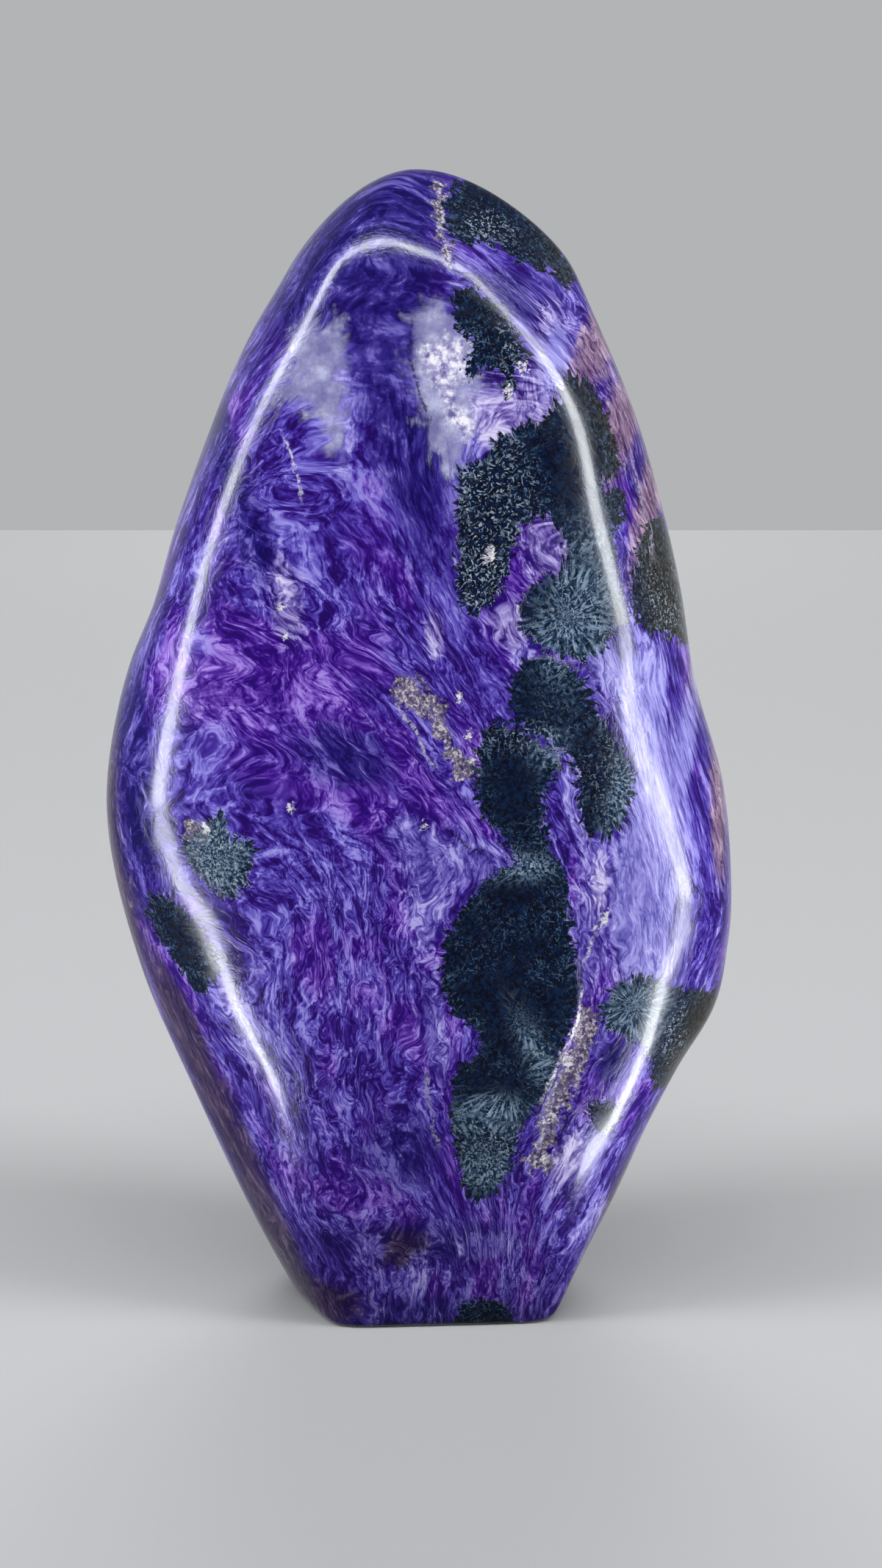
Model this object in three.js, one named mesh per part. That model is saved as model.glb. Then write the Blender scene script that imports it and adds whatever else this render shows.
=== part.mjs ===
// A polished free-form charoite: one upright stone, ground by hand on flat wheels and tumbled to a gloss.
// Its front and back are broad, nearly flat faces. Soft ridges run round them, and outside each ridge a
// flank slopes away to the stone's widest line. The front ridges meet left of the middle, in an arch just
// below the crown. The stone narrows to a small flat base, which it stands on.
//
// Every level section of the stone is a soft six-sided outline: front face, back face, and two flanks
// on each side. The six corners move with height along the lines below, so the lines are the stone's
// driving dimensions. Everything is in millimetres, +Z up, seen from the front along +Y.
import * as THREE from "three";

// Overall height, and the height over which the top closes in a rounded crown.
const HEIGHT = 160;
const CROWN_HEIGHT = 14;
const CROWN_CENTRE = { x: -0.5, y: 1.0 };
// Radius of the softened edge round the flat base.
const BASE_EDGE_RADIUS = 1.2;

// Lines up the stone, as [height, place] pairs. The widest lines and the ridges give X, the faces give Y.
const LEFT_WIDEST = [[0, -19.2], [12, -25.2], [30, -32.9], [50, -40.2], [62, -42.9], [74, -43.8], [86, -42.2],
  [94, -40.1], [101, -37.3], [112, -34.1], [126, -28.5], [138, -22.9], [147, -17.8], [160, -12.6]];
const RIGHT_WIDEST = [[0, 19.4], [14, 27.7], [28, 33.3], [36, 37.1], [44, 41.9], [54, 43.8], [64, 43.8],
  [76, 42.4], [90, 38.6], [104, 36.1], [118, 32.0], [132, 27.3], [140, 24.0], [148, 20.2], [160, 14.2]];
const WIDEST_DEPTH = [[0, 5], [40, 2], [90, 1], [160, 1]];
const FRONT_LEFT_RIDGE = [[0, -12.0], [20, -18.0], [36, -21.0], [47, -25.6], [56, -29.3], [66, -34.2],
  [74, -35.7], [82, -34.3], [90, -32.6], [106, -30.0], [127, -22.9], [142, -14.4], [149, -10.8], [154, -8.4],
  [160, -8.0]];
const FRONT_RIGHT_RIDGE = [[0, 20.0], [20, 24.0], [36, 29.3], [50, 33.8], [60, 38.2], [67, 37.2], [75, 33.2],
  [84, 28.6], [101, 27.4], [116, 23.4], [131, 19.2], [138, 14.8], [144, 8.9], [149, 3.2], [154, -3.4],
  [160, -4.0]];
const FRONT_LEFT_DEPTH = [[0, -15.0], [20, -18.5], [45, -22.5], [75, -24.0], [110, -22.0], [136, -18.2],
  [160, -13.5]];
const FRONT_RIGHT_DEPTH = [[0, -13.0], [20, -17.0], [45, -21.5], [75, -23.5], [110, -21.5], [136, -18.0],
  [160, -13.5]];
const BACK_DEPTH = [[0, 15.0], [20, 18.5], [45, 22.5], [75, 24.0], [110, 21.5], [136, 17.5], [160, 13.0]];
const BACK_LEFT_RIDGE = [[0, -14.0], [40, -24.0], [74, -29.0], [110, -23.0], [160, -8.0]];
const BACK_RIGHT_RIDGE = [[0, 15.0], [40, 25.0], [60, 28.0], [100, 23.0], [160, 7.0]];

// How crisp the edges are: a higher power rounds less. The ridges are softer where the stone is widest
// and at the crown, so theirs is a line up the stone too. The widest line is soft.
const RIDGE_POWER = [[0, 11], [34, 10], [60, 6], [84, 6.5], [106, 8.5], [136, 9], [150, 9], [160, 5]];
const WIDEST_POWER = 5;

// Long shallow waves left by hand grinding: the height, and the turns per millimetre along X, Y and Z.
const WAVES = [
  { height: 0.24, along: [0.11, 0.05, 0.07], start: 1.3 },
  { height: 0.16, along: [-0.06, 0.09, 0.13], start: 0.4 },
  { height: 0.1, along: [0.17, -0.12, -0.1], start: 2.2 },
];
const WAVES_START = 4;
const WAVES_FULL = 20;

// Number of steps round the stone, round the base's edge, up its body and over the crown.
const STEPS_ROUND = 80;
const STEPS_BASE_EDGE = 3;
const STEPS_BODY = 34;
const STEPS_CROWN = 12;

// The value of a line at height z: a smooth cubic through its points, with the slope at each point
// the mean of the slopes beside it, each weighted by the length of the other.
function along(line, z) {
  const last = line.length - 2;
  let i = 0;
  while (i < last && z >= line[i + 1][0]) i += 1;
  const slope = (k) => (line[k + 1][1] - line[k][1]) / (line[k + 1][0] - line[k][0]);
  const tangent = (k) => {
    if (k === 0) return slope(0);
    if (k === last + 1) return slope(last);
    const before = line[k][0] - line[k - 1][0];
    const after = line[k + 1][0] - line[k][0];
    return (slope(k - 1) * after + slope(k) * before) / (before + after);
  };
  const step = line[i + 1][0] - line[i][0];
  const t = (z - line[i][0]) / step;
  const s = 1 - t;
  return line[i][1] * (1 + 2 * t) * s * s + line[i + 1][1] * t * t * (3 - 2 * t)
    + step * (tangent(i) * t * s * s - tangent(i + 1) * t * t * s);
}

// The six corners of the section at height z, in order round the stone from the front left ridge.
// The two widest corners stand further out than the stone, because their soft edge cuts them back.
function cornersAt(z) {
  const left = along(LEFT_WIDEST, z);
  const right = along(RIGHT_WIDEST, z);
  const middle = (left + right) / 2;
  const reach = 2 ** (1 / WIDEST_POWER);
  const depth = along(WIDEST_DEPTH, z);
  const back = along(BACK_DEPTH, z);
  return {
    left, right, middle,
    corners: [
      new THREE.Vector2(along(FRONT_LEFT_RIDGE, z), along(FRONT_LEFT_DEPTH, z)),
      new THREE.Vector2(along(FRONT_RIGHT_RIDGE, z), along(FRONT_RIGHT_DEPTH, z)),
      new THREE.Vector2(middle + (right - middle) * reach, depth),
      new THREE.Vector2(along(BACK_RIGHT_RIDGE, z), back),
      new THREE.Vector2(along(BACK_LEFT_RIDGE, z), back),
      new THREE.Vector2(middle + (left - middle) * reach, depth),
    ],
  };
}

// Directions round the section, spaced as on an ellipse of the stone's own proportions.
function directions() {
  const widthToDepth = { width: 43, depth: 24 };
  return Array.from({ length: STEPS_ROUND }, (_, k) => {
    const turn = (2 * Math.PI * k) / STEPS_ROUND;
    const across = widthToDepth.width * Math.cos(turn);
    return new THREE.Vector2(across, widthToDepth.depth * Math.sin(turn)).normalize();
  });
}

// The section at height z as points round the stone. A side pulls on a direction by the cosine between
// them over the side's distance, and the radius is one over the power mean of all the sides' pulls.
function sectionAt(z) {
  const { left, right, middle, corners } = cornersAt(z);
  const ridgePower = along(RIDGE_POWER, z);
  const sides = corners.map((corner, k) => {
    const next = corners[(k + 1) % corners.length];
    const run = next.clone().sub(corner).normalize();
    const out = new THREE.Vector2(run.y, -run.x);
    return { out, distance: out.x * (corner.x - middle) + out.y * corner.y };
  });
  const points = directions().map((toward) => {
    const pull = sides.map((side) => Math.max(0, side.out.dot(toward) / side.distance));
    const [front, rightFront, rightBack, back, leftBack, leftFront] = pull;
    const soft = (a, b) => (a ** WIDEST_POWER + b ** WIDEST_POWER) ** (ridgePower / WIDEST_POWER);
    const faces = front ** ridgePower + back ** ridgePower;
    const total = faces + soft(rightFront, rightBack) + soft(leftBack, leftFront);
    return toward.clone().multiplyScalar(total ** (-1 / ridgePower));
  });
  // The points are spread along X so that the section reaches both widest lines exactly.
  const xs = points.map((p) => p.x);
  const low = Math.min(...xs);
  const high = Math.max(...xs);
  return points.map((p) => new THREE.Vector2(left + ((p.x - low) / (high - low)) * (right - left), p.y));
}

// The levels of the stone: its height, how far the base's soft edge draws it in, and the crown's share.
function levels() {
  const quarter = Math.PI / 2;
  const base = Array.from({ length: STEPS_BASE_EDGE }, (_, k) => {
    const turn = (quarter * k) / STEPS_BASE_EDGE;
    const z = BASE_EDGE_RADIUS * (1 - Math.cos(turn));
    return { z, inset: BASE_EDGE_RADIUS * (1 - Math.sin(turn)), share: 1 };
  });
  const crownStart = HEIGHT - CROWN_HEIGHT;
  const body = Array.from({ length: STEPS_BODY }, (_, k) => ({
    z: BASE_EDGE_RADIUS + ((crownStart - BASE_EDGE_RADIUS) * k) / STEPS_BODY, inset: 0, share: 1,
  }));
  const crown = Array.from({ length: STEPS_CROWN }, (_, k) => {
    const turn = (quarter * k) / STEPS_CROWN;
    return { z: crownStart + CROWN_HEIGHT * Math.sin(turn), inset: 0, share: Math.cos(turn) };
  });
  return [...base, ...body, ...crown];
}

// How far the grinding waves move a point outwards. They fade out above the flat base and into the crown.
function waveAt(x, y, z) {
  const rise = THREE.MathUtils.smoothstep(z, WAVES_START, WAVES_FULL);
  const fall = 1 - THREE.MathUtils.smoothstep(z, HEIGHT - WAVES_FULL, HEIGHT - WAVES_START);
  const sum = WAVES.reduce((total, wave) => {
    const phase = wave.along[0] * x + wave.along[1] * y + wave.along[2] * z;
    return total + wave.height * Math.sin(phase + wave.start);
  }, 0);
  return sum * rise * fall;
}

// The points of one level, drawn in at the base's edge, closed over the crown and moved by the waves.
function ringAt({ z, inset, share }) {
  return sectionAt(z).map((p) => {
    const reach = p.length();
    const x = CROWN_CENTRE.x + (p.x * (1 - inset / reach) - CROWN_CENTRE.x) * share;
    const y = CROWN_CENTRE.y + (p.y * (1 - inset / reach) - CROWN_CENTRE.y) * share;
    const wave = waveAt(x, y, z) / reach;
    return new THREE.Vector3(x * (1 + wave), y * (1 + wave), z);
  });
}

// The closed surface: rings joined by triangles, a flat base closed to its middle, and the crown's tip.
function stoneGeometry() {
  const rings = levels().map(ringAt);
  const points = rings.flat();
  const baseMiddle = points.push(new THREE.Vector3(0, 0, 0)) - 1;
  const tip = points.push(new THREE.Vector3(CROWN_CENTRE.x, CROWN_CENTRE.y, HEIGHT)) - 1;
  const lastRing = (rings.length - 1) * STEPS_ROUND;
  const triangles = [];
  for (let k = 0; k < STEPS_ROUND; k += 1) {
    const next = (k + 1) % STEPS_ROUND;
    for (let row = 0; row < lastRing; row += STEPS_ROUND) {
      const above = row + STEPS_ROUND;
      triangles.push(row + k, row + next, above + next, row + k, above + next, above + k);
    }
    triangles.push(baseMiddle, next, k);
    triangles.push(tip, lastRing + k, lastRing + next);
  }
  const geometry = new THREE.BufferGeometry().setFromPoints(points);
  geometry.setIndex(triangles);
  // The stone is centred over the box of its own plan, so that the origin is the middle of that box.
  geometry.computeBoundingBox();
  const middle = geometry.boundingBox.getCenter(new THREE.Vector3());
  geometry.translate(-middle.x, -middle.y, 0);
  geometry.computeVertexNormals();
  return geometry;
}

// Polished charoite: violet and lilac fibres, with a wet gloss.
function polishedCharoite() {
  return new THREE.MeshStandardMaterial({ color: 0x553a9e, roughness: 0.15, metalness: 0 });
}

function makeStone() {
  const stone = new THREE.Mesh(stoneGeometry(), polishedCharoite());
  stone.name = "stone";
  return stone;
}

const charoite = new THREE.Group();
charoite.add(makeStone());

export default charoite;
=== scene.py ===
import math

import bpy
import numpy as np
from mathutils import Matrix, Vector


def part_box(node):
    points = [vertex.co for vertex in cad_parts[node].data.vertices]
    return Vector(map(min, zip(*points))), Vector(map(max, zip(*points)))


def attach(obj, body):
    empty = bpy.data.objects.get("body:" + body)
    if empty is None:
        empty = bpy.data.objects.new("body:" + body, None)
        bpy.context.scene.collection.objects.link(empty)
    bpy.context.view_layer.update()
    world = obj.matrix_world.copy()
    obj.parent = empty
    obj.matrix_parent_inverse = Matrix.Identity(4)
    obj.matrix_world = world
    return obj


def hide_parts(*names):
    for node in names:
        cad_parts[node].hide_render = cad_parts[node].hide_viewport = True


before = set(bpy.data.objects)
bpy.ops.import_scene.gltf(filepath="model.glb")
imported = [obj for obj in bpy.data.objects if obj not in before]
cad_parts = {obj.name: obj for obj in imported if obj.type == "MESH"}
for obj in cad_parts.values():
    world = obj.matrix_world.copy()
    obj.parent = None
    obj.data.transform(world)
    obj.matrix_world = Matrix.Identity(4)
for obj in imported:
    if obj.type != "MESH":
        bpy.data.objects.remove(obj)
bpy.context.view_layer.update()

# The polished stone: one block of charoite, sawn flat at the foot, ground by hand into broad faces with
# soft ridges, and polished to a gloss. It is one solid. Its lines and numbers are those of the CAD solid,
# in millimetres, with Z up and the front towards -Y, only on a much finer grid.

MILLIMETRE = 0.001
HEIGHT = 160
CROWN_HEIGHT = 14
CROWN_CENTRE = (-0.5, 1.0)
BASE_EDGE_RADIUS = 1.2

# Lines up the stone, as (height, place). The widest lines and the ridges give X, the faces give Y.
LEFT_WIDEST = [(0, -19.2), (12, -25.2), (30, -32.9), (50, -40.2), (62, -42.9), (74, -43.8), (86, -42.2),
               (94, -40.1), (101, -37.3), (112, -34.1), (126, -28.5), (138, -22.9), (147, -17.8),
               (160, -12.6)]
RIGHT_WIDEST = [(0, 19.4), (14, 27.7), (28, 33.3), (36, 37.1), (44, 41.9), (54, 43.8), (64, 43.8),
                (76, 42.4), (90, 38.6), (104, 36.1), (118, 32.0), (132, 27.3), (140, 24.0), (148, 20.2),
                (160, 14.2)]
WIDEST_DEPTH = [(0, 5), (40, 2), (90, 1), (160, 1)]
FRONT_LEFT_RIDGE = [(0, -12.0), (20, -18.0), (36, -21.0), (47, -25.6), (56, -29.3), (66, -34.2),
                    (74, -35.7), (82, -34.3), (90, -32.6), (106, -30.0), (127, -22.9), (142, -14.4),
                    (149, -10.8), (154, -8.4), (160, -8.0)]
FRONT_RIGHT_RIDGE = [(0, 20.0), (20, 24.0), (36, 29.3), (50, 33.8), (60, 38.2), (67, 37.2), (75, 33.2),
                     (84, 28.6), (101, 27.4), (116, 23.4), (131, 19.2), (138, 14.8), (144, 8.9), (149, 3.2),
                     (154, -3.4), (160, -4.0)]
FRONT_LEFT_DEPTH = [(0, -15.0), (20, -18.5), (45, -22.5), (75, -24.0), (110, -22.0), (136, -18.2),
                    (160, -13.5)]
FRONT_RIGHT_DEPTH = [(0, -13.0), (20, -17.0), (45, -21.5), (75, -23.5), (110, -21.5), (136, -18.0),
                     (160, -13.5)]
BACK_DEPTH = [(0, 15.0), (20, 18.5), (45, 22.5), (75, 24.0), (110, 21.5), (136, 17.5), (160, 13.0)]
BACK_LEFT_RIDGE = [(0, -14.0), (40, -24.0), (74, -29.0), (110, -23.0), (160, -8.0)]
BACK_RIGHT_RIDGE = [(0, 15.0), (40, 25.0), (60, 28.0), (100, 23.0), (160, 7.0)]
RIDGE_POWER = [(0, 11), (34, 10), (60, 6), (84, 6.5), (106, 8.5), (136, 9), (150, 9), (160, 5)]
WIDEST_POWER = 5
PLAN_PROPORTIONS = (43, 24)

# Long shallow waves left by hand grinding: height, turns per millimetre along X, Y and Z, and start.
WAVES = [(0.24, (0.11, 0.05, 0.07), 1.3), (0.16, (-0.06, 0.09, 0.13), 0.4), (0.1, (0.17, -0.12, -0.1), 2.2)]
WAVES_START = 4
WAVES_FULL = 20

STEPS_ROUND = 430
STEPS_BASE_EDGE = 4
STEPS_BODY = 190
STEPS_CROWN = 34


def along(line, z):
    """A line's value at heights z: the cubic through its points whose slope at each point is the mean of
    the slopes beside it, each weighted by the length of the other."""
    at, value = np.array(line, float).T
    step = np.diff(at)
    slope = np.diff(value) / step
    inner = (slope[:-1] * step[1:] + slope[1:] * step[:-1]) / (step[:-1] + step[1:])
    tangent = np.concatenate([slope[:1], inner, slope[-1:]])
    i = np.clip(np.searchsorted(at, z, side="right") - 1, 0, len(step) - 1)
    t = (z - at[i]) / step[i]
    s = 1 - t
    ends = value[i] * (1 + 2 * t) * s * s + value[i + 1] * t * t * (3 - 2 * t)
    return ends + step[i] * (tangent[i] * t * s * s - tangent[i + 1] * t * t * s)


def fade(value, start, full):
    """0 below start, 1 above full, and three t squared less two t cubed between."""
    t = np.clip((value - start) / (full - start), 0, 1)
    return t * t * (3 - 2 * t)


def sections(z, turns):
    """The level sections at heights z, one row each, as x and y round the turns. A side pulls on a
    direction by the cosine between them over the side's distance, and the radius is one over the power
    mean of the six sides' pulls. Each row is then spread along X to reach both widest lines."""
    toward = np.stack([PLAN_PROPORTIONS[0] * np.cos(turns), PLAN_PROPORTIONS[1] * np.sin(turns)], -1)
    toward /= np.linalg.norm(toward, axis=-1, keepdims=True)
    left, right = along(LEFT_WIDEST, z), along(RIGHT_WIDEST, z)
    middle = (left + right) / 2
    reach = 2 ** (1 / WIDEST_POWER)
    depth, back = along(WIDEST_DEPTH, z), along(BACK_DEPTH, z)
    corners = np.array([
        (along(FRONT_LEFT_RIDGE, z), along(FRONT_LEFT_DEPTH, z)),
        (along(FRONT_RIGHT_RIDGE, z), along(FRONT_RIGHT_DEPTH, z)),
        (middle + (right - middle) * reach, depth),
        (along(BACK_RIGHT_RIDGE, z), back),
        (along(BACK_LEFT_RIDGE, z), back),
        (middle + (left - middle) * reach, depth),
    ])
    run = np.roll(corners, -1, axis=0) - corners
    out = np.stack([run[:, 1], -run[:, 0]], 1) / np.linalg.norm(run, axis=1)[:, None]
    distance = out[:, 0] * (corners[:, 0] - middle) + out[:, 1] * corners[:, 1]
    pull = np.maximum(0, np.einsum("kcr,tc->krt", out, toward) / distance[..., None])
    front, right_front, right_back, back_pull, left_back, left_front = pull
    power = along(RIDGE_POWER, z)[:, None]

    def soft(a, b):
        return (a ** WIDEST_POWER + b ** WIDEST_POWER) ** (power / WIDEST_POWER)

    total = front ** power + back_pull ** power + soft(right_front, right_back) + soft(left_back, left_front)
    x, y = toward.T[:, None, :] * total ** (-1 / power)
    low, high = x.min(1, keepdims=True), x.max(1, keepdims=True)
    return left[:, None] + (x - low) / (high - low) * (right - left)[:, None], y


def stone_grid():
    """The stone's surface as a grid, rows up it and columns round it: the sections, drawn in by a quarter
    circle at the base's edge, closed over the crown by a quarter ellipse, and moved out by the waves."""
    turns = np.arange(STEPS_ROUND) * 2 * np.pi / STEPS_ROUND
    edge = np.pi / 2 * np.arange(STEPS_BASE_EDGE) / STEPS_BASE_EDGE
    crown = np.pi / 2 * np.arange(STEPS_CROWN) / STEPS_CROWN
    crown_start = HEIGHT - CROWN_HEIGHT
    body = BASE_EDGE_RADIUS + (crown_start - BASE_EDGE_RADIUS) * np.arange(STEPS_BODY) / STEPS_BODY
    level = np.concatenate([BASE_EDGE_RADIUS * (1 - np.cos(edge)), body,
                            crown_start + CROWN_HEIGHT * np.sin(crown)])
    inset = np.concatenate([BASE_EDGE_RADIUS * (1 - np.sin(edge)), np.zeros(STEPS_BODY + STEPS_CROWN)])
    share = np.concatenate([np.ones(STEPS_BASE_EDGE + STEPS_BODY), np.cos(crown)])[:, None]
    x, y = sections(level, turns)
    keep = 1 - inset[:, None] / np.hypot(x, y)
    reach = np.hypot(x, y)
    x = CROWN_CENTRE[0] + (x * keep - CROWN_CENTRE[0]) * share
    y = CROWN_CENTRE[1] + (y * keep - CROWN_CENTRE[1]) * share
    z = level[:, None] + 0 * x
    wave = sum(height * np.sin(a * x + b * y + c * z + start) for height, (a, b, c), start in WAVES)
    ends = fade(z, WAVES_START, WAVES_FULL) * (1 - fade(z, HEIGHT - WAVES_FULL, HEIGHT - WAVES_START))
    wave *= ends / reach
    return x * (1 + wave), y * (1 + wave), z


x, y, z = stone_grid()

# The minerals that show on the stone, each where the polished face cuts through it. An outline is a smooth
# loop through points (x, z) seen from the front, and goes into the stone as far as the depth y beside it.
# A lens is an ellipse (x, z, half width, half height, lean in degrees) on the back.

# Aegirine: black-green clusters of needles.
NEEDLE_OUTLINES = [
    (10, [(3.5, 151), (3.5, 155), (5.5, 158.5), (9, 158.8), (13, 156.5), (17, 152.5), (20, 148.5),
          (21, 146), (19.5, 144.8), (17, 146.3), (14, 147.2), (12, 148.8), (9, 150), (6, 150)]),
    (-5, [(4.5, 143.5), (7, 144), (10, 142), (12.5, 139), (14, 135.5), (12.5, 134), (11.8, 130.8),
          (10.8, 131), (10.5, 133.3), (8, 133.8), (6.5, 132.5), (6, 134.5), (7, 137.2), (4.6, 139)]),
    (-2, [(4.8, 120), (7, 121.8), (10, 124.8), (13.5, 127), (16, 127.6), (18, 130), (19.3, 133),
          (21, 132.8), (23, 131), (25, 127), (26.8, 121.5), (26.3, 119.8), (24.5, 119.6), (24.2, 118),
          (25.5, 118.5), (27, 117.5), (27, 114), (25.8, 113), (25.5, 111), (26.5, 106), (27.5, 101),
          (25, 99.5), (24, 97), (20, 96.8), (16, 98), (13.2, 100.5), (13, 104), (15.2, 106.6),
          (18.6, 108.4), (18.8, 111.5), (17.4, 114.4), (15, 115), (13.4, 113), (12, 110), (11, 106.8),
          (9.8, 104.2), (7, 102.5), (5.8, 103), (4.9, 106), (4.8, 112)]),
    (6, [(28.5, 109), (30, 113), (32, 113.8), (34.5, 111), (36.5, 104), (38, 97), (36, 96.5), (33, 98.5),
         (30.5, 99), (28.6, 101), (28, 105)]),
    (-5, [(11.8, 92.5), (13, 96), (16, 97), (19, 96), (22, 93), (23.8, 89), (26, 86), (28, 82), (28.3, 78),
          (27, 74.5), (24.5, 72.8), (22, 73.5), (20.8, 76.5), (20.8, 80), (20, 83), (18.5, 84.5),
          (16.5, 86), (14.5, 87), (12.3, 89.5)]),
    (-5, [(7.3, 83), (8.2, 87), (10.8, 88.6), (14, 87), (17, 85.2), (18.8, 83), (17.5, 80.5), (16.3, 77.5),
          (16.8, 74), (17.5, 71), (18.5, 68.5), (15, 69), (12.5, 70), (11, 73), (8.5, 75.5), (7.2, 79)]),
    (-5, [(9, 67.5), (13, 69.6), (18.7, 69.8), (19.8, 65), (20.5, 58), (21.6, 52), (21, 48), (19.5, 43.5),
          (17.8, 38.5), (16, 34.5), (14, 32), (13, 27.5), (11.5, 23), (8.5, 20.3), (6.3, 21.5), (5.2, 26),
          (4.3, 31), (3.9, 36), (5.2, 40.5), (8, 43), (7, 46), (4, 49), (2.8, 53), (3.2, 58), (5, 63)]),
    (-1, [(24.8, 47), (25.2, 51), (28, 53), (31, 53.2), (34.5, 51), (38, 50), (43, 46), (42, 38), (37, 33),
          (34, 33.5), (32, 36), (31.5, 40), (30, 43), (27.5, 44.8)]),
    (-5, [(22.8, 34.5), (25, 35.2), (27.5, 34), (27.2, 31.5), (25.5, 29.8), (24, 31)]),
    (-5, [(-31.5, 72), (-29, 74), (-26, 76.5), (-25, 73), (-22.5, 72.5), (-22, 70.5), (-23, 67),
          (-25, 64.5), (-27.5, 65.5), (-30, 68), (-31.5, 70)]),
    (-2, [(-36.5, 63.5), (-34, 64.5), (-31.5, 62.5), (-29.5, 60), (-27, 54), (-30, 50), (-33, 53),
          (-35.5, 57), (-37.5, 60)]),
    (-5, [(4.5, 0.5), (5.5, 3), (7, 4), (11, 4), (13, 2), (12.5, -1), (5, -1)]),
]
NEEDLE_LENSES = [(-10, 127, 6, 8, 20), (-14, 117, 6, 6, -20), (-5, 104, 8, 5, -35), (2, 97, 5, 7, 10),
                 (11, 88, 8, 10, 15), (8, 76, 5, 6, -20), (-21, 77, 5, 8, -25), (-25, 68, 4, 5, 10),
                 (15, 48, 7, 9, -15), (9, 39, 6, 6, 20), (-11, 33, 8, 8, 30), (-34, 94, 4, 7, 15),
                 (38, 62, 3.5, 8, 5), (2, 11, 5, 3, 0), (13, 138, 3.5, 6, 15)]

# Pale patches: grey-lilac quartz, and the white granular fluorite beside the upper needles.
QUARTZ_OUTLINES = [
    (-5, [(-15.5, 139), (-11, 139.5), (-10.2, 137), (-10.3, 126), (-12, 125.5), (-13.5, 128), (-15, 129.5),
          (-18, 130.5), (-19, 131), (-17, 134), (-16, 137)]),
    (-5, [(-1, 136), (-0.5, 140.5), (2, 142), (4.5, 140), (6.5, 137.5), (6.8, 133), (6.6, 129), (5.5, 124),
          (4.4, 120.5), (3.2, 122), (1.2, 127), (-0.6, 131.5)]),
]
QUARTZ_LENSES = [(3, 114, 8, 9, -20), (-22, 54, 5, 7, 30), (25, 108, 4, 9, 10), (-2, 64, 6, 8, 15)]
WHITE_OUTLINES = [
    (-5, [(0, 135.5), (1.5, 137), (4.5, 138), (6.3, 136), (5.8, 133), (4, 131.5), (5.5, 129), (7.2, 126.5),
          (6.4, 125.3), (5, 126), (3.3, 129), (2.2, 132.5)]),
]

# Tan tinaksite and feldspar: grainy, softer, and left duller by the polish.
TAN_OUTLINES = [
    (-5, [(-3.5, 92), (-3, 94), (-1, 94), (1, 92.5), (3, 89), (5, 85), (7.5, 82.5), (7.5, 81), (5.5, 81),
          (3.5, 84), (1.5, 87), (-1, 90)]),
    (-5, [(17.6, 36), (19, 40.5), (20.5, 44), (21.5, 48), (23.5, 49), (24.3, 46), (23, 43), (22, 39),
          (20, 35), (18.6, 30), (18, 25.5), (15.5, 24.3), (14.5, 26), (16.3, 29), (16.6, 33)]),
    (-5, [(-31.8, 72.5), (-30.5, 74.8), (-28.3, 74.5), (-28.5, 72.3), (-30.3, 71.5)]),
    (2, [(2.2, 157.5), (3.2, 157), (3.2, 152), (4.2, 148.5), (3.8, 147), (3.1, 149.5), (2.3, 153)]),
]
TAN_LENSES = [(2, 80, 2.4, 8, -35), (-24, 108, 2, 8, 15), (24, 52, 2, 7, 20), (-5, 139, 1.6, 7, -25)]

# Distances are worked out up to FAR. Past the depth where a patch ends in the stone, a share of the further
# depth counts as distance.
FAR = 12
LOOP_STEPS = 4
DEPTH_SHARE = 0.8
LENSES_START = 2


def smooth_loop(corners):
    """A closed curve through the corners, as a Catmull-Rom spline with a few steps between corners."""
    points = np.array(corners, float)
    before, after, beyond = np.roll(points, 1, 0), np.roll(points, -1, 0), np.roll(points, -2, 0)
    t = (np.arange(LOOP_STEPS) / LOOP_STEPS)[None, :, None]
    p0, p1, p2, p3 = (p[:, None, :] for p in (before, points, after, beyond))
    curve = (2 * p1 + (p2 - p0) * t + (2 * p0 - 5 * p1 + 4 * p2 - p3) * t ** 2
             + (3 * p1 - p0 - 3 * p2 + p3) * t ** 3)
    return curve.reshape(-1, 2) / 2


def outline_distance(corners):
    """How far each point of the stone is from a loop, seen from the front: the least distance to its short
    straight runs, negative where a ray towards +X crosses the loop an odd number of times."""
    loop = smooth_loop(corners)
    nearest = np.full(x.shape, float(FAR))
    inside = np.zeros(x.shape, bool)
    low, high = loop.min(0) - FAR, loop.max(0) + FAR
    near = (x > low[0]) & (x < high[0]) & (z > low[1]) & (z < high[1])
    px, pz = x[near], z[near]
    least, odd = nearest[near], inside[near]
    for (ax, az), (bx, bz) in zip(loop, np.roll(loop, -1, axis=0)):
        run_x, run_z = bx - ax, bz - az
        t = np.clip(((px - ax) * run_x + (pz - az) * run_z) / (run_x ** 2 + run_z ** 2), 0, 1)
        least = np.minimum(least, np.hypot(px - ax - t * run_x, pz - az - t * run_z))
        crosses = (az > pz) != (bz > pz)
        odd ^= crosses & (px < ax + (pz - az) * run_x / np.where(crosses, run_z, 1))
    nearest[near] = np.where(odd, -least, least)
    return nearest


def lens_distance(lens_x, lens_z, half_width, half_height, lean):
    """About how far each point is from an ellipse: its radius in units of the ellipse's, less one, times
    the smaller half size."""
    turn = math.radians(lean)
    across = ((x - lens_x) * math.cos(turn) + (z - lens_z) * math.sin(turn)) / half_width
    up = ((z - lens_z) * math.cos(turn) - (x - lens_x) * math.sin(turn)) / half_height
    return (np.hypot(across, up) - 1) * min(half_width, half_height)


def unevenness():
    """Smooth swells of up to two millimetres, so that no lens is a plain ellipse and no patch ends level."""
    return 1.1 * np.sin(x / 2.3 + z / 3.9 + 1) + 0.9 * np.sin(z / 2.6 - x / 4.7 + y / 3)


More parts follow.
